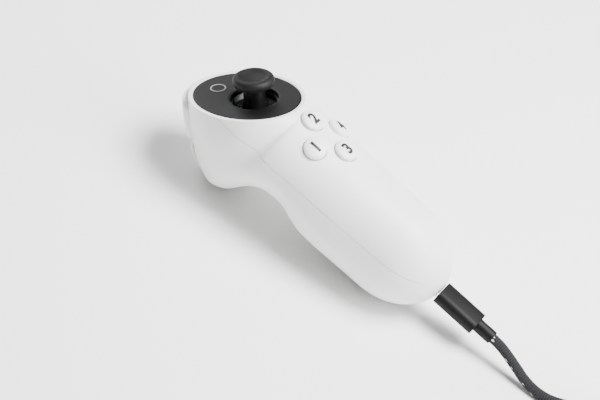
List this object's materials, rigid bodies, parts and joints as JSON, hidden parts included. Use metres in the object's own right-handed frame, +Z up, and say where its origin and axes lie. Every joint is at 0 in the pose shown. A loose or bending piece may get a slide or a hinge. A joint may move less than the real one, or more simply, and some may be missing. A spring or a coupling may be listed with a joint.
{
  "type": "wired one-handed stick controller",
  "caption": "White one-handed game controller with thumbstick, face buttons, bumper and trigger, and a braided cable with plugs.",
  "frame": {"origin": "middle of the controller and its plug on the table plane that the controller rests on, its cable and coil left out", "axes": "+Z up; the head points along -X and the cable leaves towards +X; the controller's left side faces -Y"},
  "size_m": [0.3373, 0.0583, 0.0597],
  "materials": {
    "white_shell": "satin moulded white plastic",
    "white_gloss": "slightly glossier white plastic",
    "black_plate": "satin black plastic",
    "black_plastic": "fine matt black plastic",
    "stick_rubber": "dull black rubber",
    "grey_plastic": "light grey moulded plastic",
    "grey_silicone": "grey silicone",
    "steel": "bright stamped steel",
    "circuit_board": "green coated laminate",
    "component_black": "moulded black resin",
    "component_blue": "moulded blue resin",
    "cable_braid": "dark grey woven braid with pale flecks",
    "tie_fabric": "black hook-and-loop strip"
  },
  "bodies": {
    "housing": {"upper_shell": "white_shell", "lower_shell": "white_shell", "shell_screw_1": "steel", "shell_screw_2": "steel", "faceplate": "black_plate", "faceplate_mark": "grey_plastic", "well_ring": "grey_plastic", "joystick_frame": "steel", "joystick_board": "circuit_board", "tilt_sensor_side": "component_blue", "tilt_sensor_front": "component_blue", "press_switch": "component_black", "return_spring": "steel", "button_pad": "grey_silicone", "button_board": "circuit_board", "main_board": "circuit_board", "control_chip": "component_black", "usb_receptacle": "steel", "bumper_pin": "steel", "trigger_pin": "steel", "control_board": "circuit_board", "bumper_switch": "component_black", "trigger_sensor": "component_black", "plug_overmold": "black_plastic", "plug_tip": "steel", "strain_relief": "black_plastic", "cable": "cable_braid", "cable_coil": "cable_braid", "cable_tail": "cable_braid", "cable_tie": "tie_fabric", "far_strain_relief": "black_plastic", "far_plug": "black_plastic", "far_plug_tip": "steel"},
    "stick_yoke": {"stick_yoke": "steel"},
    "stick_rocker": {"stick_rocker": "steel"},
    "thumbstick": {"thumbstick_cap": "stick_rubber", "thumbstick_post": "black_plastic", "thumbstick_dome": "black_plastic"},
    "button_left": {"button_left": "white_gloss"},
    "button_upper": {"button_upper": "white_gloss"},
    "button_lower": {"button_lower": "white_gloss"},
    "button_right": {"button_right": "white_gloss"},
    "bumper": {"bumper": "white_gloss"},
    "trigger": {"trigger": "white_gloss"}
  },
  "joints": [
    {"name": "stick_fore_aft", "type": "hinge", "parent": "housing", "child": "stick_yoke", "pos_m": [-0.04872, 0, 0.03335], "axis": [0, -1, 0], "range_deg": [-16, 16], "stiffness_Nm_per_rad": 0.08},
    {"name": "stick_sideways", "type": "hinge", "parent": "stick_yoke", "child": "stick_rocker", "pos_m": [-0.05047, 0, 0.0376], "axis": [-0.9245, 0, -0.3811], "range_deg": [-16, 16], "stiffness_Nm_per_rad": 0.08},
    {"name": "stick_press", "type": "slide", "parent": "stick_rocker", "child": "thumbstick", "axis": [0.3811, 0, -0.9245], "range_m": [0, 0.0005], "stiffness_N_per_m": 3000},
    {"name": "button_left_press", "type": "slide", "parent": "housing", "child": "button_left", "axis": [-0.1636, 0.3605, -0.9183], "range_m": [0, 0.0012], "stiffness_N_per_m": 600},
    {"name": "button_upper_press", "type": "slide", "parent": "housing", "child": "button_upper", "axis": [-0.1754, 0, -0.9845], "range_m": [0, 0.0012], "stiffness_N_per_m": 600},
    {"name": "button_lower_press", "type": "slide", "parent": "housing", "child": "button_lower", "axis": [-0.1754, 0, -0.9845], "range_m": [0, 0.0012], "stiffness_N_per_m": 600},
    {"name": "button_right_press", "type": "slide", "parent": "housing", "child": "button_right", "axis": [-0.1636, -0.3605, -0.9183], "range_m": [0, 0.0012], "stiffness_N_per_m": 600},
    {"name": "bumper_press", "type": "hinge", "parent": "housing", "child": "bumper", "pos_m": [-0.07481, 0, 0.03384], "axis": [0, -1, 0], "range_deg": [0, 4], "stiffness_Nm_per_rad": 1},
    {"name": "trigger_pull", "type": "hinge", "parent": "housing", "child": "trigger", "pos_m": [-0.06465, 0, 0.01445], "axis": [0, -1, 0], "range_deg": [0, 12], "stiffness_Nm_per_rad": 0.5}
  ]
}
